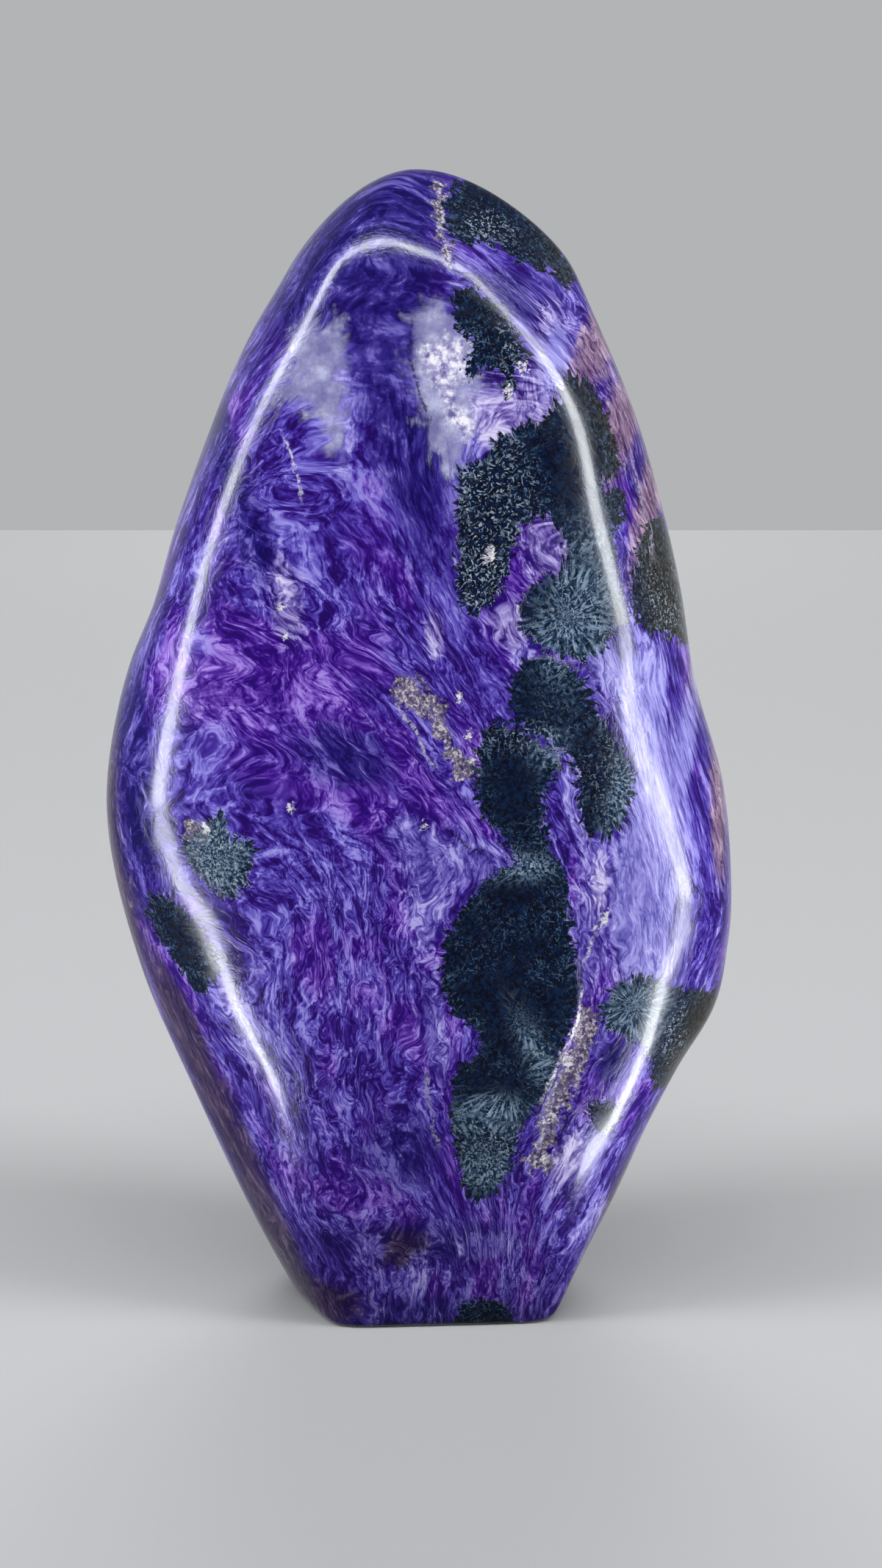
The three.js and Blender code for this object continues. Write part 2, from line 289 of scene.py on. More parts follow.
def mineral_distance(outlines, lenses=()):
    """Distance to the nearest patch of a mineral: outlines hold in front of their depth, lenses behind it."""
    distance = np.full(x.shape, float(FAR))
    uneven = unevenness()
    for depth, corners in outlines:
        end = (y - depth) * DEPTH_SHARE + uneven
        distance = np.minimum(distance, np.maximum(outline_distance(corners), end))
    for lens in lenses:
        end = (LENSES_START - y) * DEPTH_SHARE
        distance = np.minimum(distance, np.maximum(lens_distance(*lens), end) + uneven)
    return distance


needles = mineral_distance(NEEDLE_OUTLINES, NEEDLE_LENSES)
quartz = mineral_distance(QUARTZ_OUTLINES, QUARTZ_LENSES)
white = mineral_distance(WHITE_OUTLINES)
tan = mineral_distance(TAN_OUTLINES, TAN_LENSES)

# Softer grains and an old crack leave the polished face uneven: the tan strips lie a little deeper, and the
# needles beside the crack end in a raised lip.
TAN_DEPTH = 0.35
TAN_EDGE = (-0.8, 0.3)
LIP = [(21.6, 53), (21.4, 49), (20.3, 45), (18.6, 41.5), (17.4, 38), (16, 34.5)]
LIP_HEIGHT = 0.35
LIP_WIDTH = 1.6
LIP_END = 3


def relief():
    """How far the face is moved out: down by the depth inside tan strips, and up beside the lip by a bell
    that ends at the lip itself. The side of the lip is told from its place at the same height."""
    dent = -TAN_DEPTH * (1 - fade(tan, *TAN_EDGE)) * (y < 0)
    lip_x, lip_z = np.array(LIP[::-1], float).T
    from_lip = x - np.interp(z, lip_z, lip_x)
    ends = fade(z, lip_z[0], lip_z[0] + LIP_END) * (1 - fade(z, lip_z[-1] - LIP_END, lip_z[-1]))
    rise = LIP_HEIGHT * np.exp(-(from_lip / LIP_WIDTH) ** 2) * (from_lip < 0) * ends * (y < 0)
    return dent + rise


moved = relief() / np.hypot(x, y)
x, y = x * (1 + moved), y * (1 + moved)

# The middles that the needles of the front clusters grow from, as (x, z). A lens has its own middle.
NEEDLE_MIDDLES = [(12, 153), (8.5, 138), (9, 117), (8, 106), (19, 102), (22, 125), (15, 120), (26, 115.5),
                  (32, 105), (16, 91), (24, 80), (12.5, 80), (15, 70), (11, 59), (14, 48), (12, 38),
                  (9, 27), (29, 49), (35, 41), (25.5, 32.5), (-27, 70), (-33, 58), (9, 1)]
FRONT_MIDDLE_DEPTH = -21
BACK_MIDDLE_DEPTH = 20
SPOKE_LENGTH = 6


def needle_spokes():
    """For each point, the direction from the nearest middle, made one length long, so that a pattern of it
    is the same all along a spoke and needles drawn from it stand out from the middle."""
    middles = [(mx, FRONT_MIDDLE_DEPTH, mz) for mx, mz in NEEDLE_MIDDLES]
    middles += [(lens[0], BACK_MIDDLE_DEPTH, lens[1]) for lens in NEEDLE_LENSES]
    nearest = np.full(x.shape, np.inf)
    spokes = np.zeros(x.shape + (3,))
    for mx, my, mz in middles:
        away = np.stack([x - mx, y - my, z - mz], -1)
        length = np.linalg.norm(away, axis=-1)
        closer = length < nearest
        nearest = np.where(closer, length, nearest)
        spokes[closer] = (away / length[..., None] * SPOKE_LENGTH)[closer]
    return spokes


spokes = needle_spokes()

# Soft tints as (x, z, half width, half height, lean): where the stone is paler, redder, darker or calmer than
# its common violet, and where painted shade, painted reflections, painted sheen and painted glints lie in its
# colour. The back has the same tints, turned over about a level a little below half way.
SPOTS = {
    # The indigo spots are darker fibre, but those on the left flank and the two bands along the foot are
    # painted shade.
    "indigo_and_shade": [(-4, 139, 5, 15, 0), (0, 122, 4, 14, 8), (-38, 76, 2.5, 15, 0), (-8, 152, 11, 7, 15),
               (-16, 146, 5, 9, 25), (0, 156, 9, 3, 0), (-3, 28, 5, 6, 0), (-10, 84, 6, 4, -20),
               (26, 41, 2.5, 3.5, 0), (13, 143.5, 5, 2.5, -30), (-21, 111, 2, 4, 0), (0, 14, 14, 3, 0),
               (-40, 86, 3, 10, 12), (0, 2, 14, 3, 0), (-42, 70, 2.5, 8, 0), (-26, 124, 2, 14, 22)],
    "purple": [(-12, 48, 12, 16, 0), (22, 56, 4, 14, 0), (6, 14, 16, 8, 0), (-14, 100, 8, 8, 0),
               (24, 38, 4, 6, 0), (14, 97, 5, 4, 0), (-4, 66, 5, 8, 0), (-34, 104, 3, 14, 20),
               (-30, 50, 4, 14, 20)],
    # The muted spots are painted shade and a painted reflection of brown wood on the flanks and the foot.
    "muted_shade_and_reflection": [(-44, 76, 2.6, 12, 0), (-3, 13, 4, 3, 20), (-13, 4, 5, 3, 0), (-28, 30, 3, 14, 22),
              (-34, 46, 2.5, 8, 18), (-20, 10, 3, 10, 18), (27, 14, 2, 9, -22), (-42, 58, 3, 9, 5)],
    "wedge": [(3, 70, 5, 3.5, 10), (8, 69.5, 4, 2, 15), (-2, 74, 3, 2, 20), (-7, 13, 2, 2.5, 0),
              (0, 9, 1.6, 3, 0), (1, 64, 3, 6, 0), (22, 58, 3, 7, 0), (23, 27, 3, 6, -30),
              (2, 46, 1.6, 8, 5), (20, 137, 2.5, 5, 0), (14, 97, 2, 4, 40), (9, 13, 4, 2, 0),
              (23.5, 14, 2, 5, -22), (-24, 46, 2, 6, 15), (17, 145, 3, 3, -40), (23, 70, 2, 7, 10),
              (20.5, 80, 1.2, 6, -10), (-10, 126, 1.2, 8, 0)],
    "pink": [(-17.3, 104, 1.8, 6, 8), (11, 128.5, 5, 4.5, 0), (17, 131, 2.5, 4, 0), (17.5, 139, 1.8, 4, 0),
             (22.5, 83, 1.4, 6, -5), (16.5, 111, 3, 4, 20), (24, 66, 1.4, 4, 0), (11.5, 101, 2, 3, 30),
             (2, 100, 1.2, 3, 0), (19, 128, 3, 4, 0), (20, 26, 2, 4, -20)],
    # The rose spots are a painted reflection of warm wood along the right flank.
    "rose_reflection": [(23.5, 137, 2.6, 7, -25), (27, 127, 2.8, 9, -22), (31, 116, 2.2, 9, -15),
             (38.5, 92, 1.6, 6, -15), (41, 74, 1.4, 9, 0)],
    "lilac": [(28, 66, 2.6, 6, 0), (29.5, 56, 2.6, 5, 10), (29.5, 92, 2.6, 6, -12), (31, 80, 3, 8, -8),
              (31.5, 68, 3.4, 8, 0), (31.5, 58, 2.6, 5, 5), (25, 95, 4, 2, -40), (17.5, 135, 1.6, 5, -10),
              (36, 84, 1.5, 8, -15)],
    # The frost spots are paler needles with a painted sheen on the clusters.
    "pale_needles_and_sheen": [(9.5, 33, 4, 2.4, 0), (9, 34, 3.5, 1.8, 0), (21, 104, 3.5, 8, -12), (19, 99, 5, 2.5, 0),
              (27, 80, 1.4, 6, -15), (17, 84.5, 2, 2, 0), (16, 42, 1.4, 6, 25), (29, 48, 4, 5, -20),
              (-27, 70, 4.5, 5, 0), (9, 25, 3.5, 3, 0), (12, 69, 5, 1.5, 0)],
    "flecked": [(9, 117, 5, 8, 0), (8, 107, 3, 4, 0), (9, 152, 4, 2, -20), (25, 80, 2.5, 5, 0),
                (14, 86, 5, 2, 0), (9, 29, 4, 5, 0), (-26, 70, 4, 5, 0), (33, 103, 3, 7, 15),
                (12, 137, 2, 4, 0), (35, 43, 2, 5, 0)],
    # The glint spots are painted glints.
    "glint": [(-17, 77, 0.5, 0.7, 0), (-18, 103.5, 0.4, 0.6, 20), (-17.3, 99.6, 0.3, 0.5, 0),
              (18, 33, 0.6, 0.8, 0), (9, 110, 0.7, 1, 0), (13.5, 134, 0.8, 0.7, 0), (11.5, 131, 0.5, 1, 0),
              (5.2, 91.5, 0.4, 0.8, 0), (6.4, 86.5, 0.4, 0.8, 0), (6.9, 83.5, 0.5, 0.7, 0),
              (17, 26.5, 0.5, 0.8, 0), (-28.5, 74, 0.5, 0.7, 0), (24.6, 61.5, 0.4, 1.6, -20),
              (0.6, 74.6, 0.4, 0.5, 0), (20, 41, 0.6, 1.2, 20)],
    "calm": [(-5, 132, 7, 22, 0), (3, 114, 5, 16, 10), (33, 74, 6, 22, 0), (38, 90, 3, 20, -15),
             (28, 124, 4, 22, -20), (-30, 32, 3, 16, 22), (2, 24, 3, 6, 0)],
}

# The share of the height that the back's tints are turned over in, how fast a sum of tints fills up, and the
# depths over which the front's end and the back's start.
TINTS_TURNED = 0.93
TINT_STRENGTH = 1.6
FRONT_TINTS_END = (-4, 7)
BACK_TINTS_START = (1, 13)


def tint(spots):
    """The soft sum of some spots: each falls off as a bell over its half sizes, and the sum bends over at
    one. The front's tints end on the flanks, where those of the back begin."""
    sides = []
    for up in (z, HEIGHT * TINTS_TURNED - z):
        total = np.zeros(x.shape)
        for spot_x, spot_z, half_width, half_height, lean in spots:
            turn = math.radians(lean)
            across = ((x - spot_x) * math.cos(turn) + (up - spot_z) * math.sin(turn)) / half_width
            along_spot = ((up - spot_z) * math.cos(turn) - (x - spot_x) * math.sin(turn)) / half_height
            total += np.exp(-across ** 2 - along_spot ** 2)
        sides.append(1 - np.exp(-TINT_STRENGTH * total))
    return sides[0] * (1 - fade(y, *FRONT_TINTS_END)) + sides[1] * fade(y, *BACK_TINTS_START)


# Thin veins and seams on the front, as points (x, z) and a tone from 0, a dark seam, to 1, a white vein.
VEINS = [
    (0.9, [(-17.8, 126), (-16.8, 123), (-15.7, 119.8), (-15.3, 116.5)]),
    (0.7, [(2.2, 158.5), (2.9, 154), (2.6, 151.5), (3.8, 148.5), (4.2, 146)]),
    (1.0, [(21.6, 53), (21.4, 49), (20.3, 45), (18.6, 41.5), (17.4, 38), (16, 34.5)]),
    (0.8, [(21.6, 54.5), (22.6, 57.5), (23.4, 60), (24.6, 63)]),
    (0.6, [(-3.6, 92), (-2.2, 89.5), (-0.4, 87), (1, 84), (2.6, 81.5)]),
    (0.4, [(1.2, 41), (0.8, 37), (1.5, 33), (2.4, 28)]),
    (0.0, [(1.5, 76), (4, 74.3), (6.4, 71.6), (10, 69.6)]),
    (0.0, [(-1, 141), (-1.2, 136), (0, 131), (1.6, 126)]),
    (0.0, [(20.5, 133.5), (22.8, 131), (25.6, 127), (28, 121), (29.5, 115)]),
    (0.5, [(28, 123), (29.2, 117), (30.8, 113), (31.4, 108)]),
]
VEIN_REACH = 2.5
VEIN_EDGE = 1
VEIN_END = 2


def vein_lines():
    """For each point, its distance to the nearest vein, with a sign for its side, how much the vein counts
    there, and its tone. A vein counts within its reach, and dies out over the last two millimetres."""
    nearest = np.full(x.shape, float(FAR))
    sided, counts, tones = nearest.copy(), np.zeros(x.shape), np.zeros(x.shape)
    for tone, points in VEINS:
        corners = np.array(points, float)
        runs = np.hypot(*np.diff(corners, axis=0).T)
        passed = 0.0
        for (ax, az), (bx, bz), run in zip(corners, corners[1:], runs):
            t = np.clip(((x - ax) * (bx - ax) + (z - az) * (bz - az)) / run ** 2, 0, 1)
            away = np.hypot(x - ax - t * (bx - ax), z - az - t * (bz - az))
            side = np.sign((x - ax) * (bz - az) - (z - az) * (bx - ax))
            end = np.minimum(passed + t * run, runs.sum() - passed - t * run)
            closer = (away < nearest) & (y < 0)
            nearest = np.where(closer, away, nearest)
            sided = np.where(closer, away * side, sided)
            count = fade(end, 0, VEIN_END) * (1 - fade(away, VEIN_REACH - VEIN_EDGE, VEIN_REACH))
            counts = np.where(closer, count, counts)
            tones = np.where(closer, tone, tones)
            passed += run
    return np.stack([sided, counts, tones], -1)


# The fibres' lean on the front as (x, z, lean): millimetres to the right for each one down.
FIBRE_LEANS = [
    (-6, 146, 0.0), (-6, 130, 0.0), (0, 128, 0.25), (3, 118, 0.2), (4, 108, 0.15), (8, 101, 0.9),
    (14, 95, 1.0), (5, 98, 0.5), (10, 91, 0.1), (-14, 140, -0.2), (-22, 125, -0.6), (-28, 112, -0.5),
    (-24, 118, -0.3), (-33, 105, -0.35), (-18, 112, 0.1), (-14, 104, 0.5), (-8, 97, 0.8), (-20, 100, 0.6),
    (-16, 90, 0.9), (-8, 88, 1.2), (-25, 95, 0.3), (-31, 90, -0.1), (0, 88, 1.0), (5, 79, 0.9),
    (-5, 80, 0.6), (-15, 80, 0.8), (-25, 84, 0.8), (-10, 70, 0.3), (0, 66, 0.0), (-15, 62, 0.1),
    (-12, 50, 0.0), (-3, 50, 0.05), (-18, 40, 0.3), (-8, 36, 0.2), (-5, 22, 0.6), (-15, 20, 0.1),
    (5, 12, 0.2), (12, 10, 0.1), (17, 8, 0.0), (-10, 8, 0.0), (22, 95, 0.7), (26, 88, 0.5), (30, 84, 0.35),
    (33, 74, 0.15), (34, 62, 0.0), (38, 80, 0.5), (40, 70, 0.3), (38, 60, 0.0), (35, 50, -0.3),
    (30, 42, -0.5), (26, 36, -0.5), (24, 60, 0.3), (23, 68, 0.5), (19, 76, 0.2), (28, 58, 0.1),
    (24, 48, -0.1), (21, 40, -0.35), (36, 95, 0.4), (33, 104, 0.2), (28, 116, 0.4), (22, 138, 0.8),
    (14, 146, 1.2), (26, 130, 0.6), (31, 118, 0.5), (10, 148, 1.5), (2, 152, 0.5),
]
LEAN_REACH = 6

# The rims' leans are taken at a spacing, and the weights are those of the flow where no lean is near. The
# back's flow takes over between two depths, and the second grain is shifted so that its noises are others.
RIM_SPACING = 4
FRONT_WEIGHT = 0.02
BACK_WEIGHT = 0.25
GRID_SIDE = 80
GRID_FOOT = 2
SPAN = 40
SHARE_FADE = (0.1, 0.9)
BACK_FLOW_START = (-6, 8)
SECOND_GRAIN_SHIFT = (0, 60, 0)

# The right flank in front, where the needles take a painted olive reflection, as depths and heights and
# places along X between which it fades.
FLANK_FRONT = (-19, -12)
FLANK_BACK = (4, 10)
FLANK_FOOT = (20, 40)
FLANK_SIDE = (12, 24)


def lean_fields():
    """The fibres' lean in front and behind, on a grid of millimetres. Each is the mean of the leans nearby,
    weighted by a bell. Near the widest lines the fibres follow them, and the back leans in waves."""
    levels = np.arange(3.0, HEIGHT, RIM_SPACING)
    rims = []
    for line in (LEFT_WIDEST, RIGHT_WIDEST):
        slopes = along(line, levels + 0.5) - along(line, levels - 0.5)
        rims += list(zip(along(line, levels), levels, -slopes))
    grid_x, grid_z = np.meshgrid(np.arange(-GRID_SIDE, GRID_SIDE + 1.0),
                                 np.arange(-GRID_FOOT, HEIGHT + SPAN + float(GRID_FOOT)))
    waves = 0.6 * np.sin(grid_x / 9 + grid_z / 21) + 0.5 * np.sin(grid_z / 15 - grid_x / 17 + 1)
    fields = []
    for guides, between, weight in ((rims + FIBRE_LEANS, 0, FRONT_WEIGHT), (rims, waves, BACK_WEIGHT)):
        total = between * weight
        weights = np.full(grid_x.shape, weight)
        for place_x, place_z, lean in guides:
            bell = np.exp(-((grid_x - place_x) ** 2 + (grid_z - place_z) ** 2) / (2 * LEAN_REACH ** 2))
            total = total + lean * bell
            weights += bell
        fields.append(total / weights)
    return fields


def fibre_grain(first_level):
    """Coordinates that follow the fibres: across them, into the stone, and along them. Each point is
    followed up its fibre in steps of a millimetre to the next of the levels, which are a span apart, and
    where it comes out there is how far across it lies."""
    level = first_level + SPAN * np.floor((z - first_level) / SPAN + 1)
    across = []
    for field in lean_fields():
        at_x, at_z = x.copy(), z.copy()
        for _ in range(SPAN + 1):
            column = np.clip(at_x + GRID_SIDE, 0, 2 * GRID_SIDE - 1)
            row = np.clip(at_z + GRID_FOOT, 0, HEIGHT + SPAN + GRID_FOOT)
            i, j = column.astype(int), row.astype(int)
            s, t = column - i, row - j
            value = (field[j, i] * (1 - s) * (1 - t) + field[j, i + 1] * s * (1 - t)
                     + field[j + 1, i] * (1 - s) * t + field[j + 1, i + 1] * s * t)
            rise = np.clip(level - at_z, 0, 1)
            at_x -= value * rise
            at_z += rise
        across.append(at_x)
    behind = fade(y, *BACK_FLOW_START)
    return np.stack([across[0] * (1 - behind) + across[1] * behind, y, z], -1)


def span_share(first_level):
    """How much a span's grain counts: nothing at the levels, where it jumps, and all of it half way."""
    part = np.mod(z - first_level, SPAN) / SPAN
    return fade(1 - np.abs(2 * part - 1), *SHARE_FADE)


def right_flank():
    """1 on the right flank in front, where the blue-black needles take a painted olive reflection, and 0
    elsewhere.
    """
    return fade(y, *FLANK_FRONT) * (1 - fade(y, *FLANK_BACK)) * fade(z, *FLANK_FOOT) * fade(x, *FLANK_SIDE)


def stone_mesh(name):
    """The grid joined into four-sided faces, with a fan to the middle of the flat base and one to the
    crown's tip. The stone is centred as the CAD node is, and then scaled to metres."""
    grid = np.stack([x, y, z], -1)
    points = np.concatenate([grid.reshape(-1, 3), [(0, 0, 0), (*CROWN_CENTRE, HEIGHT)]])
    rows = grid.shape[0]
    k = np.arange(STEPS_ROUND)
    beside = (k + 1) % STEPS_ROUND
    start = (np.arange(rows - 1) * STEPS_ROUND)[:, None]
    quads = np.stack([start + k, start + beside, start + STEPS_ROUND + beside, start + STEPS_ROUND + k], -1)
    last = (rows - 1) * STEPS_ROUND
    base_middle, tip = rows * STEPS_ROUND, rows * STEPS_ROUND + 1
    base = np.stack([beside, k, 0 * k + base_middle], -1)
    crown = np.stack([last + k, last + beside, 0 * k + tip], -1)
    middle = (points.min(0) + points.max(0)) / 2
    cad_low, cad_high = (np.array(corner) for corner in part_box("stone"))
    points[:, :2] -= middle[:2]
    points *= MILLIMETRE
    points[:, :2] += (cad_low + cad_high)[:2] / 2
    mesh = bpy.data.meshes.new(name)
    mesh.from_pydata(points.tolist(), [], quads.reshape(-1, 4).tolist() + base.tolist() + crown.tolist())
    mesh.polygons.foreach_set("use_smooth", np.ones(len(mesh.polygons), bool))
    mesh.update()
    return mesh


def keep(mesh, name, values):
    """Keeps one number or three for each point of the mesh. The base's middle and the tip take the mean of
    the nearest row's."""
    kind, field, shape = ("FLOAT", "value", -1) if values.ndim == 2 else ("FLOAT_VECTOR", "vector", (-1, 3))
    kept = np.concatenate([values.reshape(shape), [values[0].mean(0), values[-1].mean(0)]])
    mesh.attributes.new(name, kind, "POINT").data.foreach_set(field, kept.astype(np.float32).ravel())


def show(thing):
    """Puts an object into the scene."""
    bpy.context.scene.collection.objects.link(thing)


stone = bpy.data.objects.new("polished_stone", stone_mesh("polished_stone"))
show(stone)
keep(stone.data, "grain_first", fibre_grain(0))
keep(stone.data, "grain_second", fibre_grain(SPAN / 2) + SECOND_GRAIN_SHIFT)
keep(stone.data, "first_share", span_share(0))
keep(stone.data, "spokes", spokes)
keep(stone.data, "pale_minerals", np.stack([quartz, white, tan], -1))
keep(stone.data, "needles", needles)
keep(stone.data, "veins", vein_lines())
for name in SPOTS:
    keep(stone.data, name, tint(SPOTS[name]))
keep(stone.data, "wood_reflection_share", right_flank())


# How strong the studio's light is on the front face: a colour as the photograph shows it, over this, is the
# stone's own.
FRONT_LIGHT = 2.9


def colour(code):
    """A colour written as six hexadecimal digits, as linear light."""
    parts = [int(code[i:i + 2], 16) / 255 for i in (0, 2, 4)]
    return [p / 12.92 if p <= 0.04045 else ((p + 0.055) / 1.055) ** 2.4 for p in parts] + [1.0]


class Patterns:
    """Short ways to add nodes to one material's tree. Each gives the new node's output socket."""

    def __init__(self, tree):
        self.tree = tree

    def feed(self, socket, value):
        if isinstance(value, bpy.types.NodeSocket):
            self.tree.links.new(value, socket)
        else:
            socket.default_value = value

    def attribute(self, name, output="Fac"):
        node = self.tree.nodes.new("ShaderNodeAttribute")
        node.attribute_name = name
        return node.outputs[output]

    def split(self, vector):
        node = self.tree.nodes.new("ShaderNodeSeparateXYZ")
        self.feed(node.inputs[0], vector)
        return node.outputs

    def number(self, operation, *values):
        node = self.tree.nodes.new("ShaderNodeMath")
        node.operation = operation
        for socket, value in zip(node.inputs, values):
            self.feed(socket, value)
        return node.outputs[0]

    def add(self, first, *others):
        for other in others:
            first = self.number("ADD", first, other)
        return first

    def times(self, first, *others):
        for other in others:
            first = self.number("MULTIPLY", first, other)
        return first

    def minus(self, a, b):
        return self.number("SUBTRACT", a, b)

    def swing(self, value, reach):
        """How far a noise is from a half, times reach."""
        return self.times(self.minus(value, 0.5), reach)

    def off(self, value, middle=0.5):
        """How far the value is from the middle, whichever way."""
        return self.number("ABSOLUTE", self.minus(value, middle))

    def vector(self, operation, a, b):
        node = self.tree.nodes.new("ShaderNodeVectorMath")
        node.operation = operation
        self.feed(node.inputs[0], a)
        self.feed(node.inputs["Scale" if operation == "SCALE" else 1], b)
        return node.outputs[0]

    def noise(self, vector, scale, detail=2.0, roughness=0.5, distortion=0.0, output="Fac"):
        node = self.tree.nodes.new("ShaderNodeTexNoise")
        self.feed(node.inputs["Vector"], vector)
        node.inputs["Scale"].default_value = scale
        node.inputs["Detail"].default_value = detail
        node.inputs["Roughness"].default_value = roughness
        node.inputs["Distortion"].default_value = distortion
        return node.outputs[output]

    def between(self, value, start, full, low=0.0, high=1.0):
        """low where value is at start, high where it is at full, smooth between and level beyond."""
        node = self.tree.nodes.new("ShaderNodeMapRange")
        node.interpolation_type = "SMOOTHSTEP"
        for socket, given in zip(node.inputs, (value, start, full, low, high)):
            self.feed(socket, given)
        return node.outputs[0]

    def blend(self, share, a, b):
        node = self.tree.nodes.new("ShaderNodeMix")
        node.data_type = "RGBA"
        for socket, given in zip((node.inputs[0], node.inputs[6], node.inputs[7]), (share, a, b)):
            self.feed(socket, given)
        return node.outputs[2]

    def ramp(self, value, places, codes):
        """The colours at the places along value, with straight blends between them."""
        node = self.tree.nodes.new("ShaderNodeValToRGB")
        self.feed(node.inputs[0], value)
        elements = node.color_ramp.elements
        while len(elements) < len(places):
            elements.new(0.5)
        for element, place, code in zip(elements, places, codes.split()):
            element.position = place
            element.color = [part / FRONT_LIGHT for part in colour(code)[:3]] + [1.0]
        return node.outputs[0]

    def turned(self, vector, lean, scale):
        """The vector turned about Y by lean degrees and then scaled."""
        node = self.tree.nodes.new("ShaderNodeMapping")
        self.feed(node.inputs["Vector"], vector)
        node.inputs["Rotation"].default_value = (0, math.radians(lean), 0)
        return self.vector("MULTIPLY", node.outputs[0], scale)

    def fold(self, vector, across, along_fibre, detail, reach):
        """The vector, pushed about by a noise that is stretched along the fibres, by up to reach."""
        stretched = self.vector("MULTIPLY", vector, (across, across, along_fibre))
        push = self.noise(stretched, 1.0, detail, 0.5, output="Color")
        centred = self.vector("SUBTRACT", push, (0.5, 0.5, 0.5))
        return self.vector("ADD", vector, self.vector("SCALE", centred, self.times(reach, 2.0)))


# Each fold's turns per millimetre across and along the fibres and its detail, then how far it reaches in
# millimetres where the stone is lively. The first reaches a little way where it is calm too.
BROAD_FOLD = (0.05, 0.035, 1.0)
MIDDLE_FOLD = (0.14, 0.085, 2.0)
FINE_FOLD = (0.42, 0.24, 2.0)
BROAD_REACH = 3.6
CALM_REACH = 2.4
MIDDLE_REACH = 4.6
FINE_REACH = 1.7

# Each layer's turns per millimetre across the fibres, into the stone and along the fibres.
BUNDLE_TURNS = (0.3, 0.3, 0.09)
STREAK_TURNS = (1.25, 1.25, 0.16)
THREAD_TURNS = (3.6, 3.6, 0.42)
HUE_TURNS = (0.12, 0.12, 0.06)


def fibre_layers(p, grain, lively):
    """Bundles, streaks, threads and hue along one span's grain, as noises after three folds."""
    folded = p.fold(grain, *BROAD_FOLD, p.add(p.times(lively, BROAD_REACH), CALM_REACH))
    creased = p.fold(folded, *MIDDLE_FOLD, p.times(lively, MIDDLE_REACH))
    curled = p.fold(creased, *FINE_FOLD, p.times(lively, FINE_REACH))
    bundles = p.noise(p.vector("MULTIPLY", creased, BUNDLE_TURNS), 1.0, 4.0, 0.6)
    streaks = p.noise(p.vector("MULTIPLY", curled, STREAK_TURNS), 1.0, 3.0, 0.6)
    threads = p.noise(p.vector("MULTIPLY", curled, THREAD_TURNS), 1.0, 2.0, 0.6)
    hue = p.noise(p.vector("MULTIPLY", folded, HUE_TURNS), 1.0, 2.0, 0.5)
    return bundles, streaks, threads, hue


def spans_joined(p, share, first, second):
    """The two spans' noises mixed by share, and spread out from a half again by as much as mixing flattens
    them."""
    rest = p.minus(1.0, share)
    spread = p.number("SQRT", p.add(p.times(share, share), p.times(rest, rest)))
    mixed = p.add(p.swing(first, share), p.swing(second, rest))
    return p.add(p.number("DIVIDE", mixed, spread), 0.5)


# Each family of fibre runs from its dark seams to its pale wisps, at the same places along silk.
SILK_PLACES = (0.425, 0.46, 0.5, 0.545, 0.595)
FIBRES = {
    "violet": "20005e 32127c 46309e 6a5ac0 9a90e4",
    "purple": "26006c 3a0a86 56289e 7e56c2 aa8ae4",
    # The indigo family is darker fibre and painted shade.
    "indigo_and_shade": "0c0150 190864 2a1a78 443494 7468be",
    # The muted family is a painted reflection of brown wood, darkened as painted shade.
    "muted_shade_and_reflection": "1e0c42 30204e 46325c 5e4a6c 7e6c88",
    "wedge": "36268a 50409e 6c5ab8 8c7ed4 b8b0ec",
    "pink": "42307e 6c58a6 9280c6 b8ace2 e0d6f6",
    # The rose family is a painted reflection of warm wood.
    "rose_reflection": "50325a 705272 8c6e8e aa8ca8 ccb4c6",
    "lilac": "6058b0 766ec2 8c84d4 a29ae4 bcb8f2",
}


